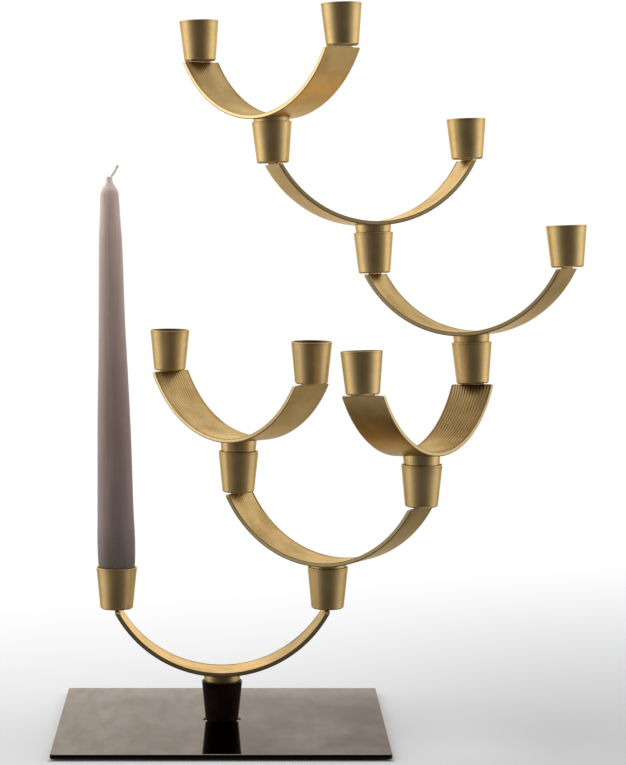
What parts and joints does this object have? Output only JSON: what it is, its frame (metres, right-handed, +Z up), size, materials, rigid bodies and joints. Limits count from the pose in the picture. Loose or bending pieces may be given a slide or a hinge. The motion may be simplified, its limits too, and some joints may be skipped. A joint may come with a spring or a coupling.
{
  "type": "stacking candelabra",
  "caption": "Modular brass candelabra: bowed strap arms with tapered cups plug into each other and turn, on a square dark bronze base, with a taper candle.",
  "frame": {"origin": "centre of the underside of the square base, on the table", "axes": "+Z up; +X to the right and +Y to the back as seen from the front, along the base's sides"},
  "size_m": [0.3211, 0.2058, 0.4436],
  "materials": {
    "satin_brass": "fine satin, rolled grain along the straps",
    "burnished_bronze": "burnished dark bronze plate, glossy",
    "blackened_bronze": "near-black patinated bronze, glossy",
    "screw_steel": "plain steel screws, hidden",
    "dark_felt": "thin dark felt",
    "taupe_wax": "smooth taupe candle wax",
    "wick_cotton": "braided cotton"
  },
  "bodies": {
    "base": {"base_felt": "dark_felt", "base_plate": "burnished_bronze", "base_cup": "blackened_bronze", "base_screw": "screw_steel"},
    "seat_1": {"spigot_screw_1": "screw_steel"},
    "arm_1": {"strap_1": "satin_brass", "cup_1_left": "satin_brass", "cup_1_right": "satin_brass", "spigot_1": "satin_brass"},
    "seat_2": {"spigot_screw_2": "screw_steel"},
    "arm_2": {"strap_2": "satin_brass", "cup_2_left": "satin_brass", "cup_2_right": "satin_brass", "spigot_2": "satin_brass"},
    "seat_3": {"spigot_screw_3": "screw_steel"},
    "arm_3": {"strap_3": "satin_brass", "cup_3_left": "satin_brass", "cup_3_right": "satin_brass", "spigot_3": "satin_brass"},
    "seat_4": {"spigot_screw_4": "screw_steel"},
    "arm_4": {"strap_4": "satin_brass", "cup_4_left": "satin_brass", "cup_4_right": "satin_brass", "spigot_4": "satin_brass"},
    "seat_5": {"spigot_screw_5": "screw_steel"},
    "arm_5": {"strap_5": "satin_brass", "cup_5_left": "satin_brass", "cup_5_right": "satin_brass", "spigot_5": "satin_brass"},
    "seat_6": {"spigot_screw_6": "screw_steel"},
    "arm_6": {"strap_6": "satin_brass", "cup_6_left": "satin_brass", "cup_6_right": "satin_brass", "spigot_6": "satin_brass"},
    "seat_7": {"spigot_screw_7": "screw_steel"},
    "arm_7": {"strap_7": "satin_brass", "cup_7_left": "satin_brass", "cup_7_right": "satin_brass", "spigot_7": "satin_brass"},
    "candle": {"candle_wax": "taupe_wax", "candle_wick": "wick_cotton"}
  },
  "joints": [
    {"name": "lift_1", "type": "slide", "parent": "base", "child": "seat_1", "axis": [0, 0, 1], "range_m": [0, 0.03]},
    {"name": "turn_1", "type": "hinge", "parent": "seat_1", "child": "arm_1", "pos_m": [0, 0, 0.0282], "axis": [0, 0, 1], "continuous": true},
    {"name": "lift_2", "type": "slide", "parent": "arm_1", "child": "seat_2", "axis": [0, 0, 1], "range_m": [0, 0.03]},
    {"name": "turn_2", "type": "hinge", "parent": "seat_2", "child": "arm_2", "pos_m": [0.06479, 0.00113, 0.09873], "axis": [0, 0, 1], "range_deg": [-150, 24]},
    {"name": "lift_3", "type": "slide", "parent": "arm_2", "child": "seat_3", "axis": [0, 0, 1], "range_m": [0, 0.03]},
    {"name": "turn_3", "type": "hinge", "parent": "seat_3", "child": "arm_3", "pos_m": [0.00972, 0.03528, 0.16636], "axis": [0, 0, 1], "range_deg": [-90, 55]},
    {"name": "lift_4", "type": "slide", "parent": "arm_2", "child": "seat_4", "axis": [-0.0361, 0.0499, 0.9981], "range_m": [0, 0.03]},
    {"name": "turn_4", "type": "hinge", "parent": "seat_4", "child": "arm_4", "pos_m": [0.11986, -0.03302, 0.16636], "axis": [0.0361, -0.0499, -0.9981], "range_deg": [-70, 40]},
    {"name": "lift_5", "type": "slide", "parent": "arm_4", "child": "seat_5", "axis": [-0.0361, 0.0499, 0.9981], "range_m": [0, 0.03]},
    {"name": "turn_5", "type": "hinge", "parent": "seat_5", "child": "arm_5", "pos_m": [0.15384, 0.02402, 0.23591], "axis": [-0.0361, 0.0499, 0.9981], "continuous": true},
    {"name": "lift_6", "type": "slide", "parent": "arm_5", "child": "seat_6", "axis": [-0.0361, 0.0499, 0.9981], "range_m": [0, 0.03]},
    {"name": "turn_6", "type": "hinge", "parent": "seat_6", "child": "arm_6", "pos_m": [0.094, 0.05756, 0.30233], "axis": [-0.0361, 0.0499, 0.9981], "continuous": true},
    {"name": "lift_7", "type": "slide", "parent": "arm_6", "child": "seat_7", "axis": [-0.0361, 0.0499, 0.9981], "range_m": [0, 0.03]},
    {"name": "turn_7", "type": "hinge", "parent": "seat_7", "child": "arm_7", "pos_m": [0.02951, 0.04208, 0.37123], "axis": [-0.0361, 0.0499, 0.9981], "continuous": true},
    {"name": "lift_candle", "type": "slide", "parent": "arm_1", "child": "candle", "axis": [-0.0192, 0, 0.9998], "range_m": [0, 0.06]}
  ]
}
